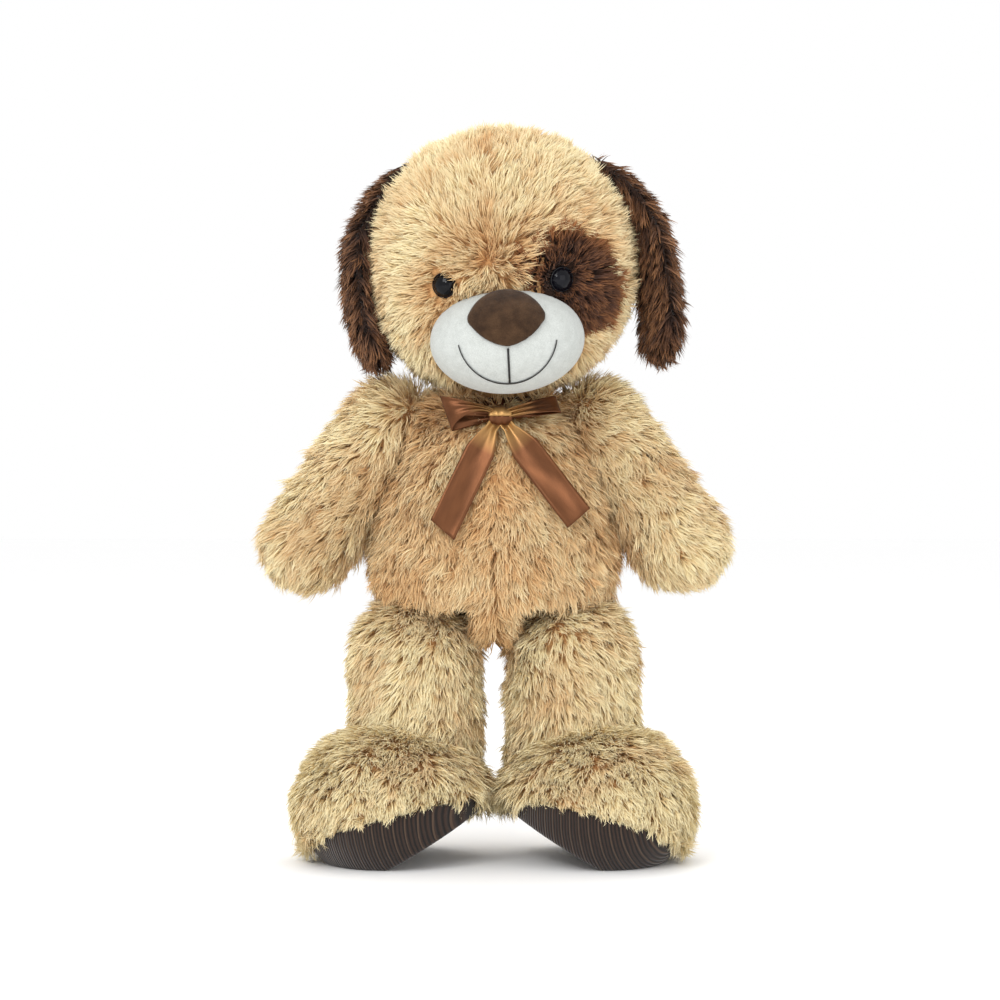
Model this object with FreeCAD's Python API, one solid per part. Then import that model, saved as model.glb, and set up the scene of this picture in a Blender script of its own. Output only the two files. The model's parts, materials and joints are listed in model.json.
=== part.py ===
"""A stuffed plush dog, about 0.72 m tall, standing on its soles.

Units are millimetres. +Z is up, the dog faces -Y, and its own left side is +X. The origin is on the
floor, under the middle of the bounding box. Each outer surface is the mean surface of the pile, so a
plush panel is thick: its backing cloth and its pile together. Every stuffed limb ends in a ball that
sits in a hollow of the torso, which gives each sewn seam its room to move.
"""

import FreeCAD
import Part
import math
import os

V = FreeCAD.Vector

# Cloth and clearances
PILE = 9.0  # long plush: backing cloth and pile
SOLE_THICK = 6.0  # corduroy with its stiffening
SHORT_CLOTH = 2.5  # short velour of the muzzle
FILL_GAP = 0.4  # between a cover and its filling
SEAM_GAP = 0.3  # between neighbouring pieces of one body
SEAM_ANGLE = 0.1  # degrees, between panels turned about one axis
MOVE_GAP = 1.5  # between bodies that move
FAR = 600.0  # larger than any sub-part
FLOOR = 8.0  # height of the floor in these dimensions; the part is moved down onto Z = 0

# Torso: half widths and heights from the crotch to the neck
TORSO_DEPTH = 0.86  # depth over width
TORSO_OUTLINE = [
    (0, 222), (24, 223.2), (48, 227), (85, 244), (111, 272), (119, 305),
    (115, 345), (106, 390), (94, 422), (76, 448), (50, 464), (25, 471), (0, 473),
]

# Neck ball, which carries the head
NECK = V(3, 0, 467)
NECK_R = 46.0

# Head: its own centre, roll, and half widths and heights about the centre
HEAD = V(7, -8, 597)
HEAD_ROLL = -3.0
HEAD_DEPTH = 0.93
HEAD_WIDTH = 126.0
HEAD_OUTLINE = [
    (0, -126), (24, -124), (48, -118), (88, -93), (115, -56), (126, -14),
    (124, 27), (108, 70), (76, 104), (40, 121.5), (20, 126.5), (0, 128),
]

# Face, about the head's centre
FACE_X = 1.5
MUZZLE = V(FACE_X, -90, -78)
MUZZLE_SEMI = (75.0, 64.0, 52.0)
NOSE_Z = -56.0
NOSE_PROUD = 5.0
NOSE_CLOTH = 1.6
SMILE_Z = -73.3
SMILE_R = 47.7
SMILE_ENDS = 10.0  # degrees below level
SMILE_WIDTH = 1.0
PHILTRUM_WIDTH = 2.0
THREAD_PROUD = 1.1
EYE_X = 58.5
EYE_Z = -23.0
EYE_R = 12.5
EYE_RISE = 8.0
EYE_SUNK = 5.0
SHANK_R = 3.0
SHANK_LENGTH = 14.0
WASHER_R = 9.5
WASHER_THICK = 1.6
PATCH = V(70, 0, -26)  # centre of the coloured patch round the left eye
PATCH_SEMI = (37.0, 46.0)
PATCH_TILT = -12.0

# Ears, about the head's centre: height, inner face, half thickness and half depth at each level
EAR_LEVELS = [
    (99.0, 97.4, 2.2, 22), (93.3, 93.1, 5.3, 30), (80, 102.9, 7.0, 39), (60, 115, 9.0, 45),
    (30, 125.6, 11.0, 50), (-15, 128.6, 12.0, 53), (-55, 127, 12.5, 53), (-84, 125, 11.5, 47),
    (-99, 126, 8.0, 34), (-106, 130, 3.0, 18),
]
EAR_Y = 6.0
EAR_HINGE = V(98.6, 6, 95.0)  # the middle of the sewn root
EAR_LEANS = {"left": 6.5, "right": 0.0}  # degrees outward, as they hang
EAR_TURNS = {"left": 9.5, "right": 0.0}  # degrees that the front edge stands out
EAR_TUCKS = {"left": 0.0, "right": 5.0}  # how far the tip hangs in toward the cheek
EAR_TUCK_Z = -20.0  # below this height
EAR_LENGTHS = {"left": 1.0, "right": 0.94}  # of the length that shows, as the cloth creases
EAR_RISES = {"left": 0.0, "right": 8.0}  # how far up the head the root is sewn
EAR_RISE_IN = 0.94  # how far in it then lies, of its rise
EAR_RISE_Z = (30.0, 93.0)  # none below the first height, all of it above the second

# Arms
SHOULDER = V(104, 0, 432)
HAND = V(183, -12, 322)
ARM_R = 43.0

# Legs and feet
HIP = V(78, -20, 205)
LEG_R = 60.0
LEG_LENGTH = 140.0
LEG_BACK = 15.0
FOOT = V(99, -52, 62)
FOOT_SEMI = (92.0, 105.0, 80.0)
FOOT_TURN = 18.0  # toes outward
SOLE_EDGE_Z = 44.0  # height of the sole's seam under the foot's centre
SOLE_TOE_UP = 11.0
SOLE_INNER_UP = 15.0
SOLE_ROLL = 31.0  # slope of the sole's raised inner half

# Tail
TAIL = V(0, 88, 268)
TAIL_R = 19.0
TAIL_LENGTH = 62.0
TAIL_RISE = 40.0
TAIL_WAG = 30.0

# Ribbon
RIBBON_WIDTH = 29.0
RIBBON_THICK = 1.0
COLLAR_LOW = (66.5, 456.4)
COLLAR_HIGH = (57.5, 463.8)
KNOT = V(6, -84, 446)
KNOT_SEMI = (12.0, 8.0, 9.5)
LOOP_SEMI = (25.0, 8.0)
LOOP_WIDTH = 21.0
LOOP_LEANS = {"left": 7.0, "right": 2.0}
RIBBON_TAIL_LENGTH = 110.0
RIBBON_TAIL_TOP = V(10, -2, -13.5)  # from the knot's centre
RIBBON_TAIL_TOP_WIDTH = 14.0
RIBBON_TAIL_PLEAT = 22.0  # length over which it spreads to full width
RIBBON_TAIL_SLANTS = {"left": 1.0, "right": 4.0}  # half of what one edge is longer by
RIBBON_TAIL_LEANS = {"left": 37.0, "right": 25.0}
RIBBON_TAIL_OUT = 12.0  # follows the belly outward

# Closing seam in the back
STITCH_COUNT = 9
STITCH_PITCH = 10.0
STITCH_R = 0.9
STITCH_LENGTH = 9.0
STITCH_LOWEST = 320.0

SIDES = (("left", 1), ("right", -1))


def front_y():
    """How far forward the turned feet and the nose reach."""
    turn = math.radians(FOOT_TURN)
    toe = FOOT.y - math.hypot(FOOT_SEMI[1] * math.cos(turn), FOOT_SEMI[0] * math.sin(turn))
    return min(toe, HEAD.y + MUZZLE.y - MUZZLE_SEMI[1] - NOSE_PROUD)


def tail_tip():
    rise = math.radians(TAIL_RISE)
    return TAIL + V(0, math.cos(rise), math.sin(rise)) * TAIL_LENGTH


# The origin lies under the middle of the bounding box, between its front and the tail.
ORIGIN_SHIFT = V(0, -(front_y() + tail_tip().y + TAIL_R) / 2, -FLOOR)


def mirrored(point, side):
    """The point on the dog's left (side 1) or right (side -1)."""
    return V(point.x * side, point.y, point.z)


def scaled(shape, x, y, z):
    """The shape stretched along the three axes about the origin."""
    matrix = FreeCAD.Matrix()
    matrix.scale(x, y, z)
    return shape.transformGeometry(matrix)


def ellipsoid(centre, semi, inset=0.0):
    """An ellipsoid with its half axes along X, Y and Z."""
    ball = scaled(Part.makeSphere(100), *[(s - inset) / 100 for s in semi])
    ball.translate(centre)
    return ball


def inset_outline(outline, inset):
    """The outline moved inward by inset, with its ends kept on the axis."""
    moved = []
    for i, (r, z) in enumerate(outline):
        before = outline[max(i - 1, 0)]
        after = outline[min(i + 1, len(outline) - 1)]
        along = V(after[0] - before[0], after[1] - before[1], 0)
        if i == 0:
            along = V(1, 0, 0)
        if i == len(outline) - 1:
            along = V(-1, 0, 0)
        along.normalize()
        moved.append(V(max(r - inset * along.y, 0.0), 0, z + inset * along.x))
    return moved


def smooth(points):
    """A smooth curve through an outline's points."""
    curve = Part.BSplineCurve()
    curve.interpolate(points)
    return curve.toShape()


def turned(outline, depth, outer, inner=None, first=0, sweep=360):
    """A solid or a shell turned about Z between two insets of an outline, squeezed to its depth."""
    outside = inset_outline(outline, outer)
    edges = [smooth(outside)]
    if inner is None:
        edges.append(Part.makeLine(outside[-1], outside[0]))
    else:
        inside = inset_outline(outline, inner)
        edges += [smooth(inside), Part.makeLine(outside[-1], inside[-1]), Part.makeLine(inside[0], outside[0])]
    face = Part.Face(Part.Wire(Part.__sortEdges__(edges)))
    if sweep < 360:
        face.rotate(V(0, 0, 0), V(0, 0, 1), first + SEAM_ANGLE / 2)
        sweep -= SEAM_ANGLE
    return scaled(face.revolve(V(0, 0, 0), V(0, 0, 1), sweep), 1, depth, 1)


def bar_half(radius, length):
    """Half of a round-ended bar's section, in the XZ plane, from its low end to its high end."""
    low, side = V(0, 0, -radius), V(radius, 0, 0)
    slant = radius * math.sqrt(0.5)
    up = V(0, 0, length)
    return [
        Part.Arc(low, V(slant, 0, -slant), side).toShape(),
        Part.makeLine(side, side + up),
        Part.Arc(side + up, up + V(slant, 0, slant), up + V(0, 0, radius)).toShape(),
    ]


def bar(start, end, radius, inner=None, first=0, sweep=360):
    """A round-ended bar or shell; its panels are turned from a seam, counted from its own X."""
    length = (end - start).Length
    edges = bar_half(radius, length)
    low, high = V(0, 0, -radius), V(0, 0, length + radius)
    if inner is None:
        edges.append(Part.makeLine(high, low))
    else:
        edges += bar_half(inner, length)
        edges.append(Part.makeLine(high, V(0, 0, length + inner)))
        edges.append(Part.makeLine(V(0, 0, -inner), low))
    face = Part.Face(Part.Wire(Part.__sortEdges__(edges)))
    if sweep < 360:
        face.rotate(V(0, 0, 0), V(0, 0, 1), first + SEAM_ANGLE / 2)
        sweep -= SEAM_ANGLE
    solid = face.revolve(V(0, 0, 0), V(0, 0, 1), sweep)
    along = end - start
    backward = V(0, 1, 0)
    solid.Placement = FreeCAD.Placement(start, FreeCAD.Rotation(backward.cross(along), backward, along, "ZXY"))
    return solid


def turned_about(shape, centre, axis, degrees):
    """A copy turned about an axis through a point."""
    copy = shape.copy()
    copy.rotate(centre, axis, degrees)
    return copy


def half_space(point, normal):
    """A large block on the side of the plane that its normal points to."""
    block = Part.makeBox(2 * FAR, 2 * FAR, FAR, V(-FAR, -FAR, 0))
    block.Placement = FreeCAD.Placement(point, FreeCAD.Rotation(V(0, 0, 1), normal))
    return block


# ---------------------------------------------------------------- torso


def arm_room(side):
    """The space that an arm passes through in a whole turn about its shoulder."""
    radius = ARM_R + MOVE_GAP
    across = HAND.x - SHOULDER.x
    down = math.hypot(HAND.y - SHOULDER.y, HAND.z - SHOULDER.z)
    length = math.hypot(across, down)
    u, w = across / length, down / length
    half = math.atan2(u, w) / 2
    upper = V(-radius * w, radius * u, 0)
    hand = V(across, down, 0)
    start = V(-radius, 0, 0)
    outer = across + radius
    bulge = V(-radius * math.cos(half), radius * math.sin(half), 0)
    corners = [upper, upper + hand, V(outer, down + radius, 0), V(outer, 0, 0), start]
    edges = [Part.makeLine(a, b) for a, b in zip(corners, corners[1:])]
    edges.append(Part.Arc(start, bulge, upper).toShape())
    room = Part.Face(Part.Wire(edges)).revolve(V(0, 0, 0), V(1, 0, 0), 360)
    if side < 0:
        room.rotate(V(0, 0, 0), V(0, 0, 1), 180)
    room.translate(mirrored(SHOULDER, side))
    return room


def leg_room(side):
    """The space over a leg: level in front, round behind, and open below."""
    radius = LEG_R + MOVE_GAP
    back = math.radians(LEG_BACK)
    centre = V(0, HIP.y, HIP.z)

    def at(angle):
        return centre + V(0, math.cos(angle), math.sin(angle)) * radius

    top, end = at(math.pi / 2), at(back)
    low_back = end + V(0, math.sin(back), -math.cos(back)) * FAR
    corners = [end, low_back, V(0, -FAR, HIP.z - FAR), V(0, -FAR, top.z), top]
    edges = [Part.makeLine(a, b) for a, b in zip(corners, corners[1:])]
    edges.append(Part.Arc(top, at((math.pi / 2 + back) / 2), end).toShape())
    room = Part.Face(Part.Wire(edges)).extrude(V(side * FAR, 0, 0))
    room.translate(V(side * (HIP.x - radius), 0, 0))
    return room


def tail_bar(radius, wag=0.0):
    """The tail's round bar, wagged sideways about its base."""
    return turned_about(bar(TAIL, tail_tip(), radius), TAIL, V(0, 0, 1), wag)


def tail_base_rooms(radius):
    """Room for the wagging tail's round end and bar, as a ball and three cylinders."""
    way = tail_tip() - TAIL
    bars = [Part.makeCylinder(radius, TAIL_LENGTH, TAIL, way) for _ in range(3)]
    wags = (-TAIL_WAG, 0, TAIL_WAG)
    return [Part.makeSphere(radius, TAIL)] + [turned_about(b, TAIL, V(0, 0, 1), w) for b, w in zip(bars, wags)]


def torso():
    """Front panel, two back panels, filling and the stitches that close the back."""
    neck_room = Part.makeSphere(NECK_R + MOVE_GAP, NECK)
    arm_rooms = {side: arm_room(side) for _, side in SIDES}
    leg_rooms = {side: leg_room(side) for _, side in SIDES}
    tail_rooms = [tail_bar(TAIL_R + MOVE_GAP, wag) for wag in (-TAIL_WAG, 0, TAIL_WAG)]

    def panel(first, sweep, sides, rooms):
        piece = turned(TORSO_OUTLINE, TORSO_DEPTH, 0, PILE, first, sweep)
        for side in sides:
            piece = piece.cut(arm_rooms[side]).cut(leg_rooms[side])
        for room in rooms:
            piece = piece.cut(room)
        return piece

    export("torso_front_panel", panel(180, 180, (1, -1), [neck_room]))
    export("torso_back_left_panel", panel(0, 90, (1,), [neck_room, *tail_rooms]))
    export("torso_back_right_panel", panel(90, 90, (-1,), [neck_room, *tail_rooms]))
    filling = turned(TORSO_OUTLINE, TORSO_DEPTH, PILE + FILL_GAP)
    for room in [neck_room, *arm_rooms.values(), *leg_rooms.values(), *tail_base_rooms(TAIL_R + MOVE_GAP)]:
        filling = filling.cut(room)
    export("torso_filling", filling)
    export("back_closing_stitches", closing_stitches())


def torso_back_y(height):
    """How far behind the axis the torso's surface lies at a height, between its outline's points."""
    for (r0, z0), (r1, z1) in zip(TORSO_OUTLINE, TORSO_OUTLINE[1:]):
        if z0 <= height <= z1:
            return TORSO_DEPTH * (r0 + (r1 - r0) * (height - z0) / (z1 - z0))
    return 0.0


def closing_stitches():
    """The ladder of hand stitches that closes the stuffing hole in the back."""
    stitches = []
    for i in range(STITCH_COUNT):
        height = STITCH_LOWEST + i * STITCH_PITCH
        start = V(-STITCH_LENGTH / 2, torso_back_y(height) + STITCH_R + 1, height)
        stitches.append(Part.makeCylinder(STITCH_R, STITCH_LENGTH, start, V(1, 0, 0)))
    return Part.makeCompound(stitches)


# ---------------------------------------------------------------- head


HEAD_PLACE = FreeCAD.Placement(HEAD, FreeCAD.Rotation(V(0, 1, 0), HEAD_ROLL))


def export_on_head(name, shape):
    """Writes a node that was made in the head's own frame."""
    placed = shape.copy()
    placed.Placement = HEAD_PLACE.multiply(placed.Placement)
    export(name, placed)


def eye_seat(side):
    """The point of the head's surface under an eye, and the direction that the eye faces."""
    depth = HEAD_WIDTH * HEAD_DEPTH
    y = -depth * math.sqrt(1 - (EYE_X / HEAD_WIDTH) ** 2 - (EYE_Z / HEAD_WIDTH) ** 2)
    normal = V(side * EYE_X / HEAD_WIDTH**2, y / depth**2, EYE_Z / HEAD_WIDTH**2)
    return V(side * EYE_X, y, EYE_Z), normal.normalize()


def eye(side):
    """A domed plastic eye with its shank, turned in one piece."""
    surface, normal = eye_seat(side)
    crown, foot = V(0, 0, EYE_RISE), V(0, 0, -SHANK_LENGTH)
    corners = [crown, foot, foot + V(SHANK_R, 0, 0), V(SHANK_R, 0, 0), V(EYE_R, 0, 0)]
    edges = [Part.makeLine(a, b) for a, b in zip(corners, corners[1:])]
    ball_r = (EYE_R**2 + EYE_RISE**2) / (2 * EYE_RISE)
    half = math.asin(EYE_R / ball_r) / 2
    middle = V(ball_r * math.sin(half), 0, EYE_RISE - ball_r + ball_r * math.cos(half))
    edges.append(Part.Arc(corners[-1], middle, crown).toShape())
    solid = Part.Face(Part.Wire(edges)).revolve(V(0, 0, 0), V(0, 0, 1), 360)
    solid.Placement = FreeCAD.Placement(surface - normal * EYE_SUNK, FreeCAD.Rotation(V(0, 0, 1), normal))
    return solid


def disc(start, direction, radius, length):
    return Part.makeCylinder(radius, length, start, direction)


def eye_room(side):
    """What an eye's dome and shank need cleared in the cover and the filling."""
    surface, normal = eye_seat(side)
    base = surface - normal * EYE_SUNK
    dome = disc(base - normal * SEAM_GAP, normal, EYE_R + SEAM_GAP, EYE_RISE * 2)
    shank = disc(base - normal * (SHANK_LENGTH + 1), normal, SHANK_R + SEAM_GAP, SHANK_LENGTH + 1)
    return dome.fuse(shank)


def washer(side):
    """The washer that locks an eye's shank inside the cover."""
    surface, normal = eye_seat(side)
    start = surface - normal * (PILE + 2 + WASHER_THICK)
    return disc(start, normal, WASHER_R, WASHER_THICK).cut(disc(start - normal, normal, SHANK_R + 0.05, 4))


def washer_room(side):
    surface, normal = eye_seat(side)
    return disc(surface - normal * (PILE + 7), normal, WASHER_R + 1, 7)


def patch_prism():
    """The outline of the coloured patch, as a prism through the front of the head."""
    tilt = math.radians(PATCH_TILT)
    long_way = V(math.sin(tilt), 0, math.cos(tilt))
    short_way = V(math.cos(tilt), 0, -math.sin(tilt))
    ring = Part.Ellipse(PATCH + long_way * PATCH_SEMI[1], PATCH + short_way * PATCH_SEMI[0], PATCH)
    return Part.Face(Part.Wire(ring.toShape())).extrude(V(0, -FAR / 2, 0))


def nose_outline(inset=0.0):
    """The nose's outline: a broad arch on a blunt point."""
    wide, top, tip = 37.5 - inset, 26.0 - inset, -30.0 + 1.3 * inset
    centre = V(FACE_X, 0, NOSE_Z)

    def at(x, z):
        return centre + V(x, 0, z)

    edges = [Part.Arc(at(-0.95 * wide, 4), at(0, top), at(0.95 * wide, 4)).toShape()]
    for side in (1, -1):
        widest, low = at(side * 0.95 * wide, 4), at(side * 0.9 * wide, -9)
        edges.append(Part.Arc(widest, at(side * wide, -2), low).toShape())
        edges.append(Part.Arc(low, at(side * 0.52 * wide, 0.76 * tip), at(0, tip)).toShape())
    return Part.Face(Part.Wire(Part.__sortEdges__(edges)))


def smile_outline():
    """The smile's line, as a flat curved band."""
    centre = V(FACE_X, 0, SMILE_Z)

    def at(radius, degrees):
        angle = math.radians(degrees)
        return centre + V(radius * math.cos(angle), 0, -radius * math.sin(angle))

    low, high = SMILE_R - SMILE_WIDTH / 2, SMILE_R + SMILE_WIDTH / 2
    start, end = SMILE_ENDS, 180 - SMILE_ENDS
    return Part.Face(Part.Wire([
        Part.Arc(at(high, start), at(high, 90), at(high, end)).toShape(),
        Part.makeLine(at(high, end), at(low, end)),
        Part.Arc(at(low, end), at(low, 90), at(low, start)).toShape(),
        Part.makeLine(at(low, start), at(high, start)),
    ]))


def philtrum_outline():
    """The short thread from the nose's point to the smile."""
    top = NOSE_Z - 31.5
    bottom = SMILE_Z - SMILE_R + SMILE_WIDTH
    left, right = FACE_X - PHILTRUM_WIDTH / 2, FACE_X + PHILTRUM_WIDTH / 2
    corners = [V(left, 0, bottom), V(right, 0, bottom), V(right, 0, top), V(left, 0, top), V(left, 0, bottom)]
    return Part.Face(Part.makePolygon(corners))


def on_muzzle(outline, low, high):
    """What a flat outline covers of the layer between two heights above the muzzle's cloth."""
    outline.translate(V(0, MUZZLE.y, 0))
    block = outline.extrude(V(0, -FAR / 2, 0))
    return block.common(ellipsoid(MUZZLE, MUZZLE_SEMI, -high)).cut(ellipsoid(MUZZLE, MUZZLE_SEMI, -low))


def muzzle():
    """Muzzle cover and filling, nose cover and padding, and the two lines of thread."""
    seat = turned(HEAD_OUTLINE, HEAD_DEPTH, -SEAM_GAP)
    cover = ellipsoid(MUZZLE, MUZZLE_SEMI).cut(ellipsoid(MUZZLE, MUZZLE_SEMI, SHORT_CLOTH))
    export_on_head("muzzle_cover", cover.cut(seat))
    export_on_head("muzzle_filling", ellipsoid(MUZZLE, MUZZLE_SEMI, SHORT_CLOTH + FILL_GAP).cut(seat))
    deep = NOSE_PROUD - NOSE_CLOTH
    nose = on_muzzle(nose_outline(), SEAM_GAP, NOSE_PROUD).cut(on_muzzle(nose_outline(NOSE_CLOTH), 0, deep))
    padding = on_muzzle(nose_outline(NOSE_CLOTH + SEAM_GAP), SEAM_GAP, deep - SEAM_GAP)
    export_on_head("nose_cover", nose.cut(seat))
    export_on_head("nose_padding", padding.cut(seat))
    export_on_head("smile_stitching", on_muzzle(smile_outline(), SEAM_GAP / 2, THREAD_PROUD))
    export_on_head("philtrum_stitching", on_muzzle(philtrum_outline(), SEAM_GAP / 2, THREAD_PROUD))


def head():
    """Face panels, back panel, patch, filling, eyes and what lies on the face."""
    neck_room = Part.makeSphere(NECK_R + MOVE_GAP, NECK)
    neck_room.Placement = HEAD_PLACE.inverse().multiply(neck_room.Placement)
    front = {}
    for name, side, first in (("left", 1, 270), ("right", -1, 180)):
        panel = turned(HEAD_OUTLINE, HEAD_DEPTH, 0, PILE, first, 90)
        front[name] = panel.cut(neck_room).cut(eye_room(side))
    prism = patch_prism()
    export_on_head("head_front_left_panel", front["left"].cut(prism))
    export_on_head("head_front_right_panel", front["right"])
    export_on_head("eye_patch", front["left"].common(prism))
    export_on_head("head_back_panel", turned(HEAD_OUTLINE, HEAD_DEPTH, 0, PILE, 0, 180).cut(neck_room))
    filling = turned(HEAD_OUTLINE, HEAD_DEPTH, PILE + FILL_GAP).cut(neck_room)
    for name, side in SIDES:
        filling = filling.cut(eye_room(side)).cut(washer_room(side))
        export_on_head(name + "_eye", eye(side))
        export_on_head(name + "_eye_washer", washer(side))
    export_on_head("head_filling", filling)
    muzzle()


def ear_rise_share(height):
    """How much of the root's rise reaches a height."""
    low, high = EAR_RISE_Z
    return min(max((height - low) / (high - low), 0), 1)


def ear_hinge(name, side):
    """The middle of an ear's sewn root, about the head's centre."""
    rise = EAR_RISES[name]
    return mirrored(EAR_HINGE + V(-EAR_RISE_IN * rise, 0, rise), side)


def ear_layer(name, side, outward):
    """One cloth of an ear: the half of its lens-shaped section nearer to or farther from the head."""
    rings = []
    slant = math.sqrt(0.5)
    lowest = EAR_LEVELS[-1][0]
    for height, inner_face, half_thick, half_depth in EAR_LEVELS:
        away = 1 if outward else -1
        tuck = EAR_TUCKS[name] * (max(EAR_TUCK_Z - height, 0) / (EAR_TUCK_Z - lowest)) ** 1.4
        rise = EAR_RISES[name] * ear_rise_share(height)
        level = EAR_HINGE.z + (height - EAR_HINGE.z) * EAR_LENGTHS[name] + rise
        inner = inner_face - tuck - EAR_RISE_IN * rise
        middle = V(side * (inner + half_thick + away * SEAM_GAP / 2), EAR_Y, level)
        bulge = V(side * away * (half_thick - SEAM_GAP / 2), 0, 0)
        reach = V(0, half_depth, 0)
        curve = Part.BSplineCurve()
        curve.interpolate([
            middle - reach, middle + (bulge - reach) * slant, middle + bulge,
            middle + (bulge + reach) * slant, middle + reach,
        ])
        rings.append(Part.Wire([curve.toShape(), Part.makeLine(middle + reach, middle - reach)]))
    return Part.makeLoft(rings, True, False)


def ears():
    """Outer panel and lining of each hanging ear."""
    for name, side in SIDES:
        hinge = ear_hinge(name, side)
        lean = -side * EAR_LEANS[name]
        for cloth, outward in (("outer_panel", True), ("lining", False)):
            layer = turned_about(ear_layer(name, side, outward), hinge, V(0, 1, 0), lean)
            layer = turned_about(layer, V(layer.CenterOfMass.x, EAR_Y, 0), V(0, 0, 1), side * EAR_TURNS[name])
            export_on_head(f"{name}_ear_{cloth}", layer)


# ---------------------------------------------------------------- limbs


def export_pair(name, shape):
    """Writes a limb's left piece and its mirror image on the right."""
    export("left_" + name, shape)
    export("right_" + name, shape.mirror(V(0, 0, 0), V(1, 0, 0)))


def arms():
    """Front and back panel and filling of each arm."""
    export_pair("arm_front_panel", bar(SHOULDER, HAND, ARM_R, ARM_R - PILE, 180, 180))
    export_pair("arm_back_panel", bar(SHOULDER, HAND, ARM_R, ARM_R - PILE, 0, 180))
    export_pair("arm_filling", bar(SHOULDER, HAND, ARM_R - PILE - FILL_GAP))


def foot_loaf(inset=0.0):
    """The left foot's full loaf, turned outward."""
    return turned_about(ellipsoid(FOOT, FOOT_SEMI, inset), FOOT, V(0, 0, 1), FOOT_TURN)


def sole_seam():
    """A point and the upward normal of the plane of the left sole's seam."""
    toe_up = FreeCAD.Rotation(V(1, 0, 0), -SOLE_TOE_UP)
    inner_up = FreeCAD.Rotation(V(0, 1, 0), SOLE_INNER_UP)
    return V(FOOT.x, FOOT.y, SOLE_EDGE_Z), toe_up.multiply(inner_up).multVec(V(0, 0, 1))


def legs():
    """Leg panels and filling, foot upper and filling, and the corduroy sole."""
    floor = V(0, 0, FLOOR)
    up = V(0, 0, 1)
    tilt = math.radians(SOLE_ROLL)
    inner = V(FOOT.x + 4, 0, FLOOR)
    raised = V(math.sin(tilt), 0, math.cos(tilt))
    ankle = HIP - up * LEG_LENGTH
    foot_room = foot_loaf(-SEAM_GAP)
    cavity = foot_loaf(PILE)
    for panel, first in (("outer", 90), ("inner", 270)):
        export_pair(f"leg_{panel}_panel", bar(HIP, ankle, LEG_R, LEG_R - PILE, first, 180).cut(foot_room))
    export_pair("leg_filling", bar(HIP, ankle, LEG_R - PILE - FILL_GAP).cut(cavity))

    point, normal = sole_seam()
    upper = foot_loaf().common(half_space(point + normal * SEAM_GAP, normal))
    upper = upper.common(half_space(inner, raised)).common(half_space(floor, up))
    export_pair("foot_upper", upper.cut(cavity).cut(bar(HIP, ankle, LEG_R - PILE)))

    def above(inset, height):
        """The loaf over the sole's level face and its raised inner half, both moved up."""
        loaf = foot_loaf(inset).common(half_space(floor + up * height, up))
        return loaf.common(half_space(inner + raised * height, raised))

    below = above(0, 0).cut(half_space(point, normal))
    export_pair("sole", below.cut(above(SOLE_THICK, SOLE_THICK)))
    export_pair("foot_filling", above(PILE + FILL_GAP, SOLE_THICK + FILL_GAP))


def tail():
    export("tail_cover", bar(TAIL, tail_tip(), TAIL_R, TAIL_R - PILE))
    export("tail_filling", bar(TAIL, tail_tip(), TAIL_R - PILE - FILL_GAP))


# ---------------------------------------------------------------- ribbon


def collar():
    """The ribbon round the neck, lying on the slope of the shoulders."""
    (low_r, low_z), (high_r, high_z) = COLLAR_LOW, COLLAR_HIGH
    across = V(high_z - low_z, 0, low_r - high_r).normalize() * RIBBON_THICK
    low, high = V(low_r, 0, low_z), V(high_r, 0, high_z)
    section = Part.makePolygon([low, high, high + across, low + across, low])
    return scaled(Part.Face(section).revolve(V(0, 0, 0), V(0, 0, 1), 360), 1, TORSO_DEPTH, 1)


def bow_loop(side, lean):
    """One flattened loop of the bow, beside the knot."""
    def oval(inset):
        ring = Part.Ellipse(V(0, 0, 0), LOOP_SEMI[0] - inset, LOOP_SEMI[1] - inset)
        return Part.Face(Part.Wire(ring.toShape())).extrude(V(0, 0, LOOP_WIDTH))

    loop = oval(0).cut(oval(RIBBON_THICK))
    loop.translate(V(side * (KNOT_SEMI[0] + LOOP_SEMI[0] + SEAM_GAP), 0, -LOOP_WIDTH / 2))
    loop.rotate(V(0, 0, 0), V(0, 1, 0), -side * lean)
    loop.translate(KNOT)
    return loop


def ribbon_tail(side, lean, slant):
    """One hanging end of the ribbon: gathered at the knot, cut at a slant."""
    top, half = RIBBON_TAIL_TOP_WIDTH / 2, RIBBON_WIDTH / 2
    end = -RIBBON_TAIL_LENGTH
    outline = Part.makePolygon([
        V(-top, 0, 0), V(top, 0, 0), V(half, 0, -RIBBON_TAIL_PLEAT), V(half, 0, end + side * slant),
        V(-half, 0, end - side * slant), V(-half, 0, -RIBBON_TAIL_PLEAT), V(-top, 0, 0),
    ])
    strip = Part.Face(outline).extrude(V(0, -RIBBON_THICK, 0))
    strip.rotate(V(0, 0, 0), V(0, 1, 0), -side * lean)
    strip.rotate(V(0, 0, 0), V(1, 0, 0), -RIBBON_TAIL_OUT)
    strip.translate(KNOT + mirrored(RIBBON_TAIL_TOP, side))
    return strip


def ribbon():
    """Collar, knot, two loops and two hanging ends."""
    export("neck_ribbon", collar())
    export("bow_knot", ellipsoid(KNOT, KNOT_SEMI))
    for name, side in SIDES:
        export(name + "_bow_loop", bow_loop(side, LOOP_LEANS[name]))
        tail = ribbon_tail(side, RIBBON_TAIL_LEANS[name], RIBBON_TAIL_SLANTS[name])
        export(name + "_ribbon_tail", tail)


def export(name, shape):
    """Writes one node, moved to the part's origin."""
    placed = shape.copy()
    placed.translate(ORIGIN_SHIFT)
    if not placed.isValid() or not placed.Solids:
        raise ValueError(f"{name} isn't a valid solid")
    placed.exportStep(f"parts/{name}.step")


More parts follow.
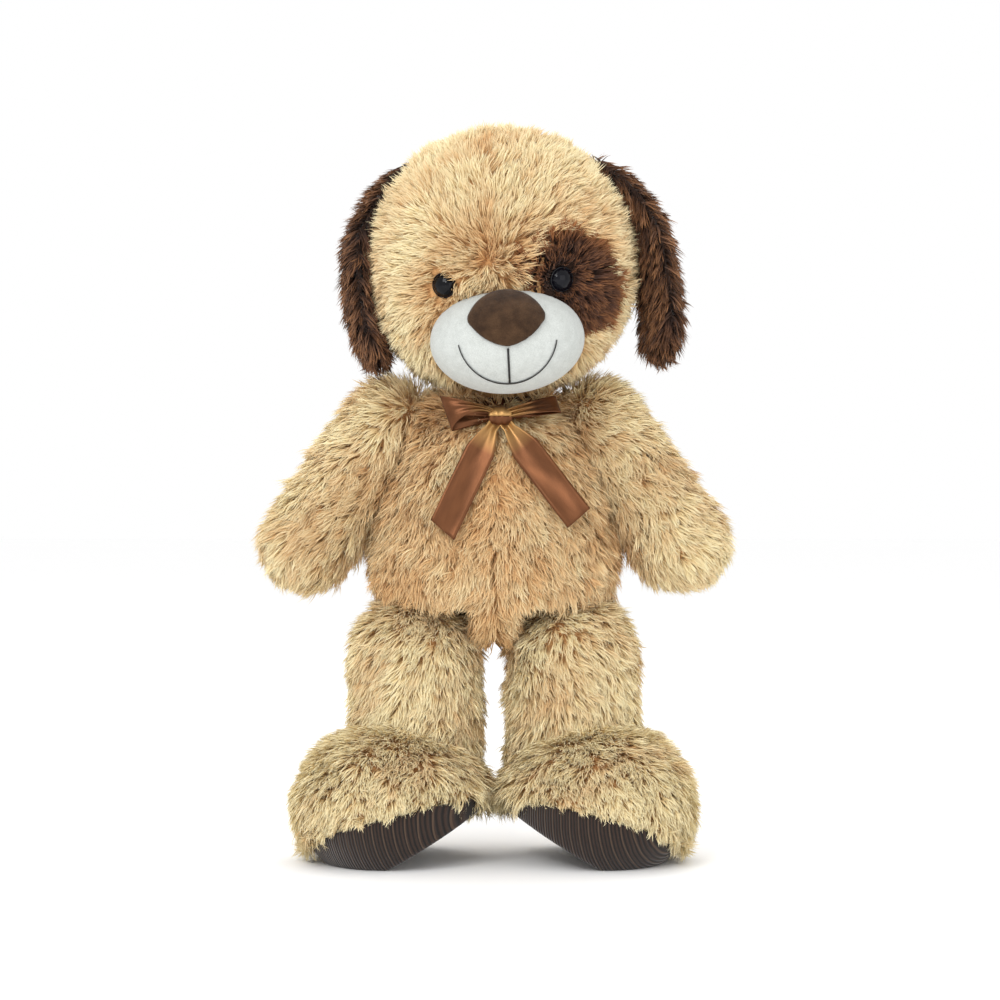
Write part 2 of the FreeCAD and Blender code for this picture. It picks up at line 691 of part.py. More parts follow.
def main():
    os.makedirs("parts", exist_ok=True)
    torso()
    head()
    ears()
    arms()
    legs()
    tail()
    ribbon()
    export("neck_filling", Part.makeSphere(NECK_R, NECK))
    print("origin shift", ORIGIN_SHIFT)
    for name, side in SIDES:
        print(name, "ear hinge", HEAD_PLACE.multVec(ear_hinge(name, side)) + ORIGIN_SHIFT)


main()
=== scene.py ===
"""The plush dog's look: fur strands over soft skins, velour face, domed eyes, satin bow, corduroy soles."""

import json
import math

import bmesh
import bpy
import numpy as np
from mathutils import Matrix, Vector
from mathutils.bvhtree import BVHTree


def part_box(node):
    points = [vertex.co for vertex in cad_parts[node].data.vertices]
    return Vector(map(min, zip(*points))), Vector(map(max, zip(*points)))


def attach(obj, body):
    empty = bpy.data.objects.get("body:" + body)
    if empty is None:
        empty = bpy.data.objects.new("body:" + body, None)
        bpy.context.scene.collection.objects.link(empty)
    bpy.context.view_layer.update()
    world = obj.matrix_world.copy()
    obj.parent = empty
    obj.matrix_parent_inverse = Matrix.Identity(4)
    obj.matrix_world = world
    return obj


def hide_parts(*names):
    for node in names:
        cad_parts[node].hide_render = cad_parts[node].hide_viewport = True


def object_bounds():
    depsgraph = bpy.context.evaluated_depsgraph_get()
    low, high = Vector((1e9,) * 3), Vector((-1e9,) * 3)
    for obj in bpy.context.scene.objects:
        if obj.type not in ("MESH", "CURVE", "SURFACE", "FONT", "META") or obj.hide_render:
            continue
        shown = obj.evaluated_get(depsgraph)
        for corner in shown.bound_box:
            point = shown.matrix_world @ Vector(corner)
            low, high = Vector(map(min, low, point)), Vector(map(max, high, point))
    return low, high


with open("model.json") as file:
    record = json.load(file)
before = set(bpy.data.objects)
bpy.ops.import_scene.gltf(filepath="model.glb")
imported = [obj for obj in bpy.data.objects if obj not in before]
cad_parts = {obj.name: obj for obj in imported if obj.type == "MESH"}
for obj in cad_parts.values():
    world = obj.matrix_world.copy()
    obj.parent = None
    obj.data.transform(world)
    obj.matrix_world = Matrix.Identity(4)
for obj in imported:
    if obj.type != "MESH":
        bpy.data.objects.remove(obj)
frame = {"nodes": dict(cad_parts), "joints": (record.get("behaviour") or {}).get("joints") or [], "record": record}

NODES = frame["nodes"]
JOINTS = {j["name"]: j for j in frame["joints"]}
CAD_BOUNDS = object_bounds()
SIDES = (("left", 1), ("right", -1))


# ---------------------------------------------------------------- materials


def new_material(name):
    mat = bpy.data.materials.new(name)
    mat.use_nodes = True
    tree = mat.node_tree
    return mat, tree, tree.nodes["Principled BSDF"]


def add(tree, kind, **values):
    """A node with its plain inputs set by name."""
    node = tree.nodes.new(kind)
    for key, value in values.items():
        if hasattr(node, key) and key not in node.inputs:
            setattr(node, key, value)
        else:
            node.inputs[key].default_value = value
    return node


def ramp(tree, factor, stops):
    """A colour ramp fed by an output."""
    node = tree.nodes.new("ShaderNodeValToRGB")
    elements = node.color_ramp.elements
    while len(elements) < len(stops):
        elements.new(0.5)
    for element, (place, colour) in zip(elements, stops):
        element.position = place
        element.color = (*colour, 1)
    tree.links.new(factor, node.inputs["Fac"])
    return node.outputs["Color"]


def mixed(tree, factor, one, two, blend="MIX"):
    """Two colours mixed; each value is an output, a number or a colour."""
    node = tree.nodes.new("ShaderNodeMix")
    node.data_type = "RGBA"
    node.blend_type = blend
    for index, value in ((0, factor), (6, one), (7, two)):
        if isinstance(value, bpy.types.NodeSocket):
            tree.links.new(value, node.inputs[index])
        elif isinstance(value, (int, float)):
            node.inputs[index].default_value = value
        else:
            node.inputs[index].default_value = (*value, 1)
    return node.outputs[2]


def set_shader(shader, **values):
    """Inputs set by name, with spaces for the underscores."""
    for key, value in values.items():
        shader.inputs[key.replace("_", " ")].default_value = value


FUR_STOPS = (0.0, 0.5, 0.98)  # where along a strand the root, middle and tip colours lie


def fur_material(name, dark, light, sheen):
    """Fur whose colour runs from root to tip (V), in a shade from dark to light (U)."""
    mat, tree, shader = new_material(name)
    place = add(tree, "ShaderNodeUVMap", uv_map="OFBake")
    split = tree.nodes.new("ShaderNodeSeparateXYZ")
    tree.links.new(place.outputs["UV"], split.inputs[0])
    along = split.outputs["Y"]
    low = ramp(tree, along, list(zip(FUR_STOPS, dark)))
    high = ramp(tree, along, list(zip(FUR_STOPS, light)))
    tree.links.new(mixed(tree, split.outputs["X"], low, high), shader.inputs["Base Color"])
    set_shader(shader, Roughness=0.62, Sheen_Weight=sheen, Sheen_Roughness=0.5)
    shader.inputs["Specular IOR Level"].default_value = 0.25
    return mat


def cloth_material(name, one, two, scale, bump, rough=0.9, sheen=0.2, distance=0.0006):
    """Short nap or backing cloth: two mixed colours over fine noise."""
    mat, tree, shader = new_material(name)
    where = tree.nodes.new("ShaderNodeTexCoord")
    patches = add(tree, "ShaderNodeTexNoise", Scale=scale / 12, Detail=3.0)
    grain = add(tree, "ShaderNodeTexNoise", Scale=scale, Detail=4.0, Roughness=0.65)
    for node in (patches, grain):
        tree.links.new(where.outputs["Object"], node.inputs["Vector"])
    even = ramp(tree, patches.outputs["Fac"], [(0.3, one), (0.7, two)])
    speck = ramp(tree, grain.outputs["Fac"], [(0.3, (0.72, 0.72, 0.72)), (0.7, (1.15, 1.15, 1.15))])
    tree.links.new(mixed(tree, 1.0, even, speck, "MULTIPLY"), shader.inputs["Base Color"])
    relief = add(tree, "ShaderNodeBump", Strength=bump, Distance=distance)
    tree.links.new(grain.outputs["Fac"], relief.inputs["Height"])
    tree.links.new(relief.outputs["Normal"], shader.inputs["Normal"])
    set_shader(shader, Roughness=rough, Sheen_Weight=sheen, Sheen_Roughness=0.4)
    shader.inputs["Specular IOR Level"].default_value = 0.2
    return mat


SATIN_TONES = ((0.10, 0.036, 0.013), (0.155, 0.058, 0.022))
# Painted highlight: the pale gold laid into the satin's colour where each ribbon starts
SATIN_PAINTED_HIGHLIGHT = (0.46, 0.26, 0.09)


def satin_material():
    """Bronze satin: a soft metal gloss with fine crosswise threads, and a painted highlight where each ribbon
    starts.
    """
    mat, tree, shader = new_material("satin_bronze")
    where = add(tree, "ShaderNodeUVMap", uv_map="strip")
    threads = add(tree, "ShaderNodeTexWave", Scale=60.0, Distortion=0.6, Detail=1.0)
    threads.bands_direction = "Y"
    tree.links.new(where.outputs["UV"], threads.inputs["Vector"])
    cloud = add(tree, "ShaderNodeTexNoise", Scale=3.0, Detail=2.0)
    tree.links.new(where.outputs["UV"], cloud.inputs["Vector"])
    tone = ramp(tree, cloud.outputs["Fac"], list(zip((0.3, 0.7), SATIN_TONES)))
    split = tree.nodes.new("ShaderNodeSeparateXYZ")
    tree.links.new(where.outputs["UV"], split.inputs[0])
    # Painted highlight: pale gold at the start of each strip, fading out along it
    painted_highlight = ramp(tree, split.outputs["Y"], [(0.02, (1.0, 1.0, 1.0)), (0.28, (0.0, 0.0, 0.0))])
    tone = mixed(tree, painted_highlight, tone, SATIN_PAINTED_HIGHLIGHT)
    line = ramp(tree, threads.outputs["Fac"], [(0.2, (0.86, 0.86, 0.86)), (0.8, (1.06, 1.06, 1.06))])
    tree.links.new(mixed(tree, 1.0, tone, line, "MULTIPLY"), shader.inputs["Base Color"])
    relief = add(tree, "ShaderNodeBump", Strength=0.12, Distance=0.0002)
    tree.links.new(threads.outputs["Fac"], relief.inputs["Height"])
    tree.links.new(relief.outputs["Normal"], shader.inputs["Normal"])
    set_shader(shader, Roughness=0.34, Metallic=0.8)
    return mat


WALE_SCALE = 104.0
PALE_SCALE = 34.7  # a pale line to about every third wale
WALE_TONES = ((0.006, 0.003, 0.002), (0.032, 0.016, 0.010))
PALE_TONE = (0.075, 0.045, 0.028)


def corduroy_material():
    """Dark corduroy: wales across the foot, about every third one edged by a pale line of thread."""
    mat, tree, shader = new_material("corduroy_brown")
    where = tree.nodes.new("ShaderNodeTexCoord")
    turn = add(tree, "ShaderNodeMapping")
    turn.inputs["Rotation"].default_value = (0.0, 0.0, 0.5)
    tree.links.new(where.outputs["Object"], turn.inputs["Vector"])
    wales = add(tree, "ShaderNodeTexWave", Scale=WALE_SCALE, Distortion=1.2, Detail=1.0)
    lines = add(tree, "ShaderNodeTexWave", Scale=PALE_SCALE, Distortion=1.2, Detail=1.0)
    for node in (wales, lines):
        node.inputs["Detail Scale"].default_value = 0.6
    nap = add(tree, "ShaderNodeTexNoise", Scale=900.0, Detail=3.0)
    for node in (wales, lines, nap):
        tree.links.new(turn.outputs["Vector"], node.inputs["Vector"])
    wale = ramp(tree, wales.outputs["Fac"], list(zip((0.1, 0.8), WALE_TONES)))
    nappy = mixed(tree, 0.35, wale, nap.outputs["Fac"], "SOFT_LIGHT")
    pale = ramp(tree, lines.outputs["Fac"], [(0.955, (0, 0, 0)), (0.985, (1, 1, 1))])
    tree.links.new(mixed(tree, pale, nappy, PALE_TONE), shader.inputs["Base Color"])
    relief = add(tree, "ShaderNodeBump", Strength=0.8, Distance=0.0009)
    tree.links.new(wales.outputs["Fac"], relief.inputs["Height"])
    tree.links.new(relief.outputs["Normal"], shader.inputs["Normal"])
    set_shader(shader, Roughness=0.92, Sheen_Weight=0.25, Sheen_Roughness=0.4)
    return mat


def plain_material(name, one, two, rough, gloss=0.3):
    """Moulded plastic or thread: a nearly even colour with a slight mottle."""
    mat, tree, shader = new_material(name)
    where = tree.nodes.new("ShaderNodeTexCoord")
    cloud = add(tree, "ShaderNodeTexNoise", Scale=60.0, Detail=2.0)
    tree.links.new(where.outputs["Object"], cloud.inputs["Vector"])
    tree.links.new(ramp(tree, cloud.outputs["Fac"], [(0.3, one), (0.7, two)]), shader.inputs["Base Color"])
    set_shader(shader, Roughness=rough)
    shader.inputs["Specular IOR Level"].default_value = gloss
    return mat


# Each fur's root, middle and tip
TAN_DARK = ((0.48, 0.215, 0.07), (0.60, 0.34, 0.14), (0.72, 0.475, 0.23))
TAN_LIGHT = ((0.66, 0.41, 0.17), (0.80, 0.65, 0.355), (0.86, 0.78, 0.52))
BROWN_DARK = ((0.014, 0.006, 0.004), (0.045, 0.017, 0.008), (0.12, 0.050, 0.022))
BROWN_LIGHT = ((0.035, 0.015, 0.007), (0.16, 0.068, 0.028), (0.42, 0.20, 0.085))
PATCH_DARK = ((0.014, 0.006, 0.004), (0.038, 0.014, 0.007), (0.085, 0.032, 0.015))
PATCH_LIGHT = ((0.04, 0.015, 0.006), (0.17, 0.058, 0.018), (0.44, 0.18, 0.060))

MATERIALS = {
    "tan_fur": fur_material("tan_fur", TAN_DARK, TAN_LIGHT, 0.12),
    "brown_fur": fur_material("brown_fur", BROWN_DARK, BROWN_LIGHT, 0.08),
    "patch_fur": fur_material("patch_fur", PATCH_DARK, PATCH_LIGHT, 0.08),
    "tan_backing": cloth_material("tan_backing", (0.50, 0.255, 0.10), (0.62, 0.35, 0.15), 700, 0.7),
    "brown_backing": cloth_material("brown_backing", (0.02, 0.009, 0.005), (0.035, 0.015, 0.008), 700, 0.7),
    "white_velour": cloth_material(
        "white_velour", (0.49, 0.51, 0.485), (0.55, 0.57, 0.545), 1500, 0.25, 0.95, 0.15, 0.0002
    ),
    "nose_velour": cloth_material(
        "nose_velour", (0.032, 0.015, 0.0065), (0.072, 0.037, 0.017), 1100, 0.9, distance=0.0008
    ),
    "satin": satin_material(),
    "corduroy": corduroy_material(),
    "black_thread": plain_material("black_thread", (0.008, 0.007, 0.007), (0.02, 0.018, 0.018), 0.5),
    "tan_thread": plain_material("tan_thread", (0.5, 0.32, 0.17), (0.62, 0.42, 0.24), 0.5),
    "filling": cloth_material("filling_fibre", (0.8, 0.8, 0.78), (0.88, 0.88, 0.86), 500, 0.8),
    "eye_plastic": plain_material(
        "eye_plastic", (0.002, 0.002, 0.003), (0.004, 0.004, 0.007), 0.05, gloss=0.18
    ),
    "washer_plastic": plain_material("washer_plastic", (0.78, 0.78, 0.76), (0.84, 0.84, 0.82), 0.45),
}


# ---------------------------------------------------------------- mesh tools


def link(name, mesh, material):
    """A new object in the scene, in one material."""
    obj = bpy.data.objects.new(name, mesh)
    bpy.context.scene.collection.objects.link(obj)
    mesh.materials.clear()
    mesh.materials.append(MATERIALS[material])
    return obj


def smooth_shade(mesh):
    mesh.polygons.foreach_set("use_smooth", np.ones(len(mesh.polygons), bool))


def vertex_values(mesh, kind):
    out = np.empty(len(mesh.vertices) * 3, np.float32)
    mesh.vertices.foreach_get(kind, out)
    return out.reshape(-1, 3).astype(float)


def coords(mesh):
    return vertex_values(mesh, "co")


def normals(mesh):
    return vertex_values(mesh, "normal")


def triangles(mesh):
    """Each triangle's three vertices."""
    mesh.calc_loop_triangles()
    out = np.empty(len(mesh.loop_triangles) * 3, np.int32)
    mesh.loop_triangles.foreach_get("vertices", out)
    return out.reshape(-1, 3)


def put_coords(mesh, points):
    mesh.vertices.foreach_set("co", points.astype(np.float32).ravel())
    mesh.update()


def joined(names):
    """One mesh with the faces of several CAD nodes."""
    bm = bmesh.new()
    for name in names:
        bm.from_mesh(NODES[name].data)
    mesh = bpy.data.meshes.new("joined")
    bm.to_mesh(mesh)
    bm.free()
    return mesh


def modified(obj, *steps):
    """The object's mesh after these modifiers, applied."""
    for kind, values in steps:
        modifier = obj.modifiers.new(kind, kind)
        for key, value in values.items():
            setattr(modifier, key, value)
    graph = bpy.context.evaluated_depsgraph_get()
    mesh = bpy.data.meshes.new_from_object(obj.evaluated_get(graph))
    obj.modifiers.clear()
    obj.data = mesh
    return mesh


def remeshed(name, nodes, voxel, material, rounds=8, shrink=0.0):
    """A closed soft form over CAD nodes: voxels, smoothed, then drawn in along its normals."""
    obj = link(name, joined(nodes), material)
    mesh = modified(
        obj,
        ("REMESH", {"mode": "VOXEL", "voxel_size": voxel, "adaptivity": 0.0}),
        ("SMOOTH", {"factor": 0.5, "iterations": rounds}),
    )
    mesh.materials.clear()
    mesh.materials.append(MATERIALS[material])
    smooth_shade(mesh)
    mesh.update()
    if shrink:
        put_coords(mesh, coords(mesh) - normals(mesh) * shrink)
    return obj


def unit(vectors):
    return vectors / np.maximum(np.linalg.norm(vectors, axis=-1, keepdims=True), 1e-9)


def waves(points, wavelength, seed, count=5):
    """A smooth field with values about -1 to 1, made of a few plane waves."""
    rng = np.random.default_rng(seed)
    ways = unit(rng.normal(size=(count, 3))) * (2 * math.pi / wavelength)
    ways *= rng.uniform(0.7, 1.4, (count, 1))
    phase = rng.uniform(0, 2 * math.pi, count)
    return np.sin(points @ ways.T + phase).sum(1) / math.sqrt(count / 2) / 1.6


def centre_of(*names):
    """The middle, low corner and high corner of CAD nodes' common box."""
    low = np.min([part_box(n)[0] for n in names], axis=0)
    high = np.max([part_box(n)[1] for n in names], axis=0)
    return (low + high) / 2, low, high


def tree_of(names):
    """A search tree over CAD nodes' faces."""
    points, faces, start = [], [], 0
    for name in names:
        mesh = NODES[name].data
        points.append(coords(mesh))
        faces.append(triangles(mesh) + start)
        start += len(mesh.vertices)
    return BVHTree.FromPolygons(np.concatenate(points).tolist(), np.concatenate(faces).tolist())


def distances(tree, points):
    return np.array([tree.find_nearest(p)[3] for p in points.tolist()])


# ---------------------------------------------------------------- fur


def sampled(mesh, spacing, rng):
    """Points spread over a mesh, about one to each square of the spacing, with their normals."""
    tri, co, no = triangles(mesh), coords(mesh), normals(mesh)
    a, b, c = (co[tri[:, i]] for i in range(3))
    area = np.linalg.norm(np.cross(b - a, c - a), axis=1) / 2
    count = int(area.sum() / spacing**2)
    ends = np.cumsum(area)
    picks = (np.arange(count) + rng.uniform(0, 1, count)) * ends[-1] / count
    face = np.minimum(np.searchsorted(ends, picks), len(tri) - 1)
    r1, r2 = np.sqrt(rng.uniform(0, 1, count)), rng.uniform(0, 1, count)
    weights = np.stack([1 - r1, r1 * (1 - r2), r1 * r2], 1)[:, :, None]
    corners = tri[face]
    return (co[corners] * weights).sum(1), unit((no[corners] * weights).sum(1))


FLOOR_CLEAR = 0.001  # the lowest that any strand reaches; it lies flat there
STRAND_STEPS = (0.0, 0.36, 0.72, 1.0)  # how far along a strand its points lie: three pairs and a tip
STRAND_TAPER = np.array([0.9, 1.0, 0.7])  # the pairs' widths
STRAND_FACES = np.array([(0, 1, 3), (0, 3, 2), (2, 3, 5), (2, 5, 4), (4, 5, 6)])


def strand_mesh(name, root, normal, flow, length, width, shade, rng, lean, curl, pull, centre):
    """Flat tapering strands of seven points each. lean is the angle off the normal at root and tip."""
    n = len(root)
    side = unit(np.cross(normal, flow))
    start = lean[0]
    turn = np.where(np.abs(lean[1] - lean[0]) < 0.05, 0.05, lean[1] - lean[0])
    phase = rng.uniform(0, 2 * math.pi, n)
    line = []
    for t in STRAND_STEPS:
        up = (np.sin(start + turn * t) - np.sin(start)) / turn
        out = (np.cos(start) - np.cos(start + turn * t)) / turn
        point = root + length[:, None] * (normal * up[:, None] + flow * out[:, None])
        point += side * (curl * np.sin(phase + 4.5 * t) * t)[:, None]
        point -= (root - centre) * (pull * t**1.2)[:, None]
        line.append(point)
    line = np.stack(line, 1)
    along = unit(np.gradient(line, axis=1))
    flat = unit(np.cross(along, normal[:, None, :] + 1e-4))
    tilt = rng.normal(0, 0.6, n)
    tilt = tilt[:, None, None]
    across = flat * np.cos(tilt) + unit(np.cross(along, flat)) * np.sin(tilt)
    half = across[:, :3] * (width[:, None] * STRAND_TAPER / 2)[:, :, None]
    points = np.empty((n, 7, 3))
    points[:, 0:6:2] = line[:, :3] - half
    points[:, 1:6:2] = line[:, :3] + half
    points[:, 6] = line[:, 3]
    points[:, :, 2] = np.maximum(points[:, :, 2], FLOOR_CLEAR)
    faces = (np.arange(n)[:, None, None] * 7 + STRAND_FACES).reshape(-1, 3)
    mesh = bpy.data.meshes.new(name)
    mesh.vertices.add(n * 7)
    mesh.vertices.foreach_set("co", points.astype(np.float32).ravel())
    mesh.loops.add(faces.size)
    mesh.loops.foreach_set("vertex_index", faces.astype(np.int32).ravel())
    mesh.polygons.add(len(faces))
    mesh.polygons.foreach_set("loop_start", np.arange(0, faces.size, 3, dtype=np.int32))
    mesh.update(calc_edges=True)
    place = np.empty((n, 7, 2))
    base = np.clip(shade, 0.01, 0.99)
    edges = [(t, edge) for t in STRAND_STEPS[:3] for edge in (-1, 1)]
    for i, (t, edge) in enumerate(edges + [(STRAND_STEPS[3], 0)]):
        place[:, i, 0] = base + edge * 0.004
        place[:, i, 1] = 0.01 + 0.98 * t
    layer = mesh.uv_layers.new(name="OFBake")
    layer.data.foreach_set("uv", place.reshape(-1, 2)[faces.ravel()].astype(np.float32).ravel())
    smooth_shade(mesh)
    return mesh


TUFT_SPREAD = 0.0036 * 0.55  # of a tuft's roots about its middle


def grow(
    name, skin, material, flow_of, keep, shade_of, spacing, per_tuft, length, width, seed, lean=(0.55, 1.25),
    curl=0.0012, stand_of=None, trim_of=None,
):
    """Tufts of strands over a skin.

    Of the points and normals, flow_of gives the way the pile lies, keep where it grows and shade_of how light
    it is. Of the points, stand_of gives how far it stands up and trim_of its length.
    """
    rng = np.random.default_rng(seed)
    points, norms = sampled(skin.data, spacing, rng)
    if keep is not None:
        mask = keep(points, norms)
        points, norms = points[mask], norms[mask]
    count = len(points)
    flow = flow_of(points, norms)
    bend = waves(points, 0.045, seed + 1) * 0.35 + waves(points, 0.016, seed + 2) * 0.25
    bend = bend + rng.normal(0, 0.16, count)
    side = np.cross(norms, flow)
    flow = flow * np.cos(bend)[:, None] + side * np.sin(bend)[:, None]
    flow = unit(flow - norms * (flow * norms).sum(1, keepdims=True))
    shade = shade_of(points, norms) + rng.normal(0, 0.11, count)
    long = length * (1 + 0.10 * waves(points, 0.03, seed + 3) + rng.normal(0, 0.07, count))
    pull = rng.uniform(0.1, 0.5, count)
    lift = rng.normal(0, 0.12, count)
    if stand_of is not None:
        lift = lift - stand_of(points)
    if trim_of is not None:
        long = long * trim_of(points)

    tuft = np.repeat(np.arange(count), per_tuft)
    n = len(tuft)
    first, second = unit(np.cross(norms, flow)), flow
    spot = rng.normal(0, TUFT_SPREAD, (n, 2))
    centre = points[tuft]
    root = centre + first[tuft] * spot[:, :1] + second[tuft] * spot[:, 1:]
    jitter = rng.normal(0, 0.13, n)
    way = second[tuft] * np.cos(jitter)[:, None] + first[tuft] * np.sin(jitter)[:, None]
    lengths = long[tuft] * rng.uniform(0.78, 1.1, n)
    widths = width * rng.uniform(0.7, 1.25, n)
    shades = shade[tuft] + rng.normal(0, 0.11, n)
    leans = (lean[0] + lift[tuft] + rng.normal(0, 0.1, n), lean[1] + lift[tuft] + rng.normal(0, 0.15, n))
    curls = curl * rng.uniform(0.3, 1.5, n)
    mesh = strand_mesh(
        name, root, norms[tuft], way, lengths, widths, shades, rng, leans, curls, pull[tuft], centre
    )
    link(name, mesh, material).parent = skin


def tangent(way, norms):
    """The way along the surface that is nearest to this one."""
    return unit(way - norms * (way * norms).sum(1, keepdims=True) + 1e-6)


def downward(points, norms, outward=0.0):
    way = np.zeros_like(points)
    way[:, 2] = -1
    way[:, 0] = outward * np.sign(points[:, 0])
    return tangent(way, norms)


def away_from(spot, points, norms):
    return tangent(points - np.array(spot), norms)


# ---------------------------------------------------------------- bodies


SKIN = 0.0035  # how far each skin lies inside the pile's mean surface
EYE_CLEAR = 0.0128  # no pile grows nearer to an eye's axis
# No pile grows nearer than this to a piece that is sewn on or tucked in there
MUZZLE_GAP = 0.004
HEAD_NECK_GAP = 0.009
TORSO_NECK_GAP = 0.006
TORSO_TAIL_GAP = 0.003
TORSO_LIMB_GAP = 0.0052
LIMB_TORSO_GAP = 0.0045
TAIL_TORSO_GAP = 0.004


def body_skin(name, body, nodes, material, voxel=0.004, shrink=SKIN):
    """A body's padded skin, slightly lumpy, which takes the place of its CAD nodes."""
    skin = remeshed(name, nodes, voxel, material, shrink=shrink)
    mesh = skin.data
    co = coords(mesh)
    lump = waves(co, 0.06, 7) * 0.0011 + waves(co, 0.025, 8) * 0.0005
    put_coords(mesh, co + normals(mesh) * lump[:, None])
    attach(skin, body)
    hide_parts(*nodes)
    return skin


HEAD_NODES = [
    "head_front_left_panel", "head_front_right_panel", "head_back_panel", "eye_patch", "head_filling",
]
RIBBON_NODES = ["left_ribbon_tail", "right_ribbon_tail", "left_bow_loop", "right_bow_loop"]
TORSO_NODES = ["torso_front_panel", "torso_back_left_panel", "torso_back_right_panel", "torso_filling"]
head_middle = centre_of(*HEAD_NODES[:3])[0]
muzzle_middle, muzzle_low, muzzle_high = centre_of("muzzle_cover")
eye_middle = {name: centre_of(name + "_eye")[0] for name, _ in SIDES}
brow = (eye_middle["left"] + eye_middle["right"]) / 2
FACE = np.array([brow[0] - 0.014, muzzle_low[1] + 0.03, brow[2] + 0.018])  # where the pile parts
HEAD_SPLIT = head_middle[1] + 0.005  # the pile in front of it is finer than the pile behind
TORSO_SPLIT = 0.004  # the same for the torso

neck_tree = tree_of(["neck_filling"])
arm_trees = {name: tree_of([name + "_arm_front_panel", name + "_arm_back_panel"]) for name, _ in SIDES}
leg_trees = {name: tree_of([name + "_leg_outer_panel", name + "_leg_inner_panel"]) for name, _ in SIDES}
torso_tree = tree_of(TORSO_NODES[:3])
tail_tree = tree_of(["tail_cover"])
head_trees = {
    "muzzle": tree_of(["muzzle_cover"]),
    "patch": tree_of(["eye_patch"]),
    "plain": tree_of(HEAD_NODES[:3]),
}


def near(points, tree, reach):
    return distances(tree, points) < reach


def bell(distance, reach):
    """1 at no distance, falling smoothly to almost nothing at twice the reach."""
    return np.exp(-((distance / reach) ** 2))


def from_spot(points, spot):
    return np.linalg.norm(points - spot, axis=1)


def from_axis(points, spot):
    """Distance from the line that runs front to back through the spot."""
    return np.linalg.norm((points - spot)[:, [0, 2]], axis=1)


def head_keep(points, norms, patch):
    """Where the head's pile grows, on the eye patch or off it."""
    keep = ~near(points, neck_tree, HEAD_NECK_GAP) & (distances(head_trees["muzzle"], points) > MUZZLE_GAP)
    inside = np.abs((points - muzzle_middle) / ((muzzle_high - muzzle_low) / 2 + 1e-6))
    keep &= ~((inside[:, 0] ** 2 + inside[:, 2] ** 2 < 0.92) & (points[:, 1] < head_middle[1] - 0.04))
    for middle in eye_middle.values():
        clear = from_axis(points, middle) > EYE_CLEAR
        keep = (keep & clear) | (~clear & (points[:, 1] > head_middle[1]))
    leaning = points + head_flow(points, norms) * 0.012  # about where each strand's middle lies
    on_patch = distances(head_trees["patch"], leaning) < distances(head_trees["plain"], leaning) + 0.003
    return keep & (on_patch if patch else ~on_patch)


def head_flow(points, norms):
    """Away from the face and round the eyes in front, downward behind."""
    way = away_from(FACE, points, norms)
    for middle in eye_middle.values():
        ring = bell(from_axis(points, middle), 0.02)
        way += away_from(middle, points, norms) * (1.8 * ring)[:, None]
    way[:, 2] -= 0.10
    behind = np.clip((points[:, 1] - head_middle[1]) / 0.07 + 0.2, 0, 1)[:, None]
    return tangent(way * (1 - behind) + downward(points, norms) * 1.5 * behind, norms)


def head_stand(points):
    """The pile stands up where it parts and round the eyes."""
    lift = 0.45 * bell(from_spot(points, FACE), 0.03)
    for middle in eye_middle.values():
        lift += 0.35 * bell(from_spot(points, middle), 0.024)
    return lift


def head_trim(points):
    """The pile is shorter beside the eyes and the muzzle."""
    trim = np.ones(len(points))
    for middle in eye_middle.values():
        trim -= 0.62 * bell(from_spot(points, middle), 0.021)
    return trim - 0.55 * bell(distances(head_trees["muzzle"], points), 0.010)


def tan_shade(points, painted_shade_and_warmth):
    """Tan in light and dark drifts, darker and warmer by the amount given: painted shade at creases between
    bodies, a warm tone on the face.
    """
    return 0.62 + 0.22 * waves(points, 0.07, 31) + 0.16 * waves(points, 0.02, 32) - painted_shade_and_warmth


def head_shade(points, norms):
    """Warmer between the eyes, above the patch, round the eyes and along the parting."""
    face_side = np.clip((head_middle[1] - points[:, 1]) / 0.06, 0, 1)
    glow = 0.30 * bell(from_axis(points, FACE), 0.045) * face_side
    above_patch = (points[:, 2] > eye_middle["left"][2] + 0.02) * face_side
    glow = glow + 0.3 * bell(distances(head_trees["patch"], points), 0.012) * above_patch
    for middle in eye_middle.values():
        glow = glow + 0.3 * bell(from_axis(points, middle), 0.02) * face_side
    parting = 0.3 * bell(points[:, 0] - FACE[0], 0.006) * face_side * (points[:, 2] > FACE[2])
    return tan_shade(points, glow + parting) + 0.10


def make_head():
    skin = body_skin("head_skin", "head", HEAD_NODES, "tan_backing")
    skin.data.materials.append(MATERIALS["brown_backing"])
    middles = np.array([face.center for face in skin.data.polygons])
    on_patch = distances(head_trees["patch"], middles) < distances(head_trees["plain"], middles)
    skin.data.polygons.foreach_set("material_index", on_patch.astype(np.int32))

    def front(p, n):
        return head_keep(p, n, False) & (p[:, 1] < HEAD_SPLIT)

    def back(p, n):
        return head_keep(p, n, False) & (p[:, 1] >= HEAD_SPLIT)

    def patch(p, n):
        return head_keep(p, n, True)

    def patch_flow(p, n):
        return away_from(eye_middle["left"] + np.array([-0.004, 0.01, 0.0]), p, n)

    def patch_shade(p, n):
        edge = bell(distances(head_trees["plain"], p), 0.007)
        return 0.2 + 0.7 * edge + 0.1 * waves(p, 0.02, 33)

    grow(
        "head_fur_front", skin, "tan_fur", head_flow, front, head_shade, spacing=0.0050, per_tuft=12,
        length=0.0205, width=0.0011, seed=11, stand_of=head_stand, trim_of=head_trim,
    )
    grow(
        "head_fur_back", skin, "tan_fur", head_flow, back, head_shade, spacing=0.0064, per_tuft=11,
        length=0.021, width=0.0016, seed=12,
    )
    grow(
        "eye_patch_fur", skin, "patch_fur", patch_flow, patch, patch_shade, spacing=0.0046, per_tuft=12,
        length=0.018, width=0.0012, seed=13, stand_of=head_stand, trim_of=head_trim,
    )


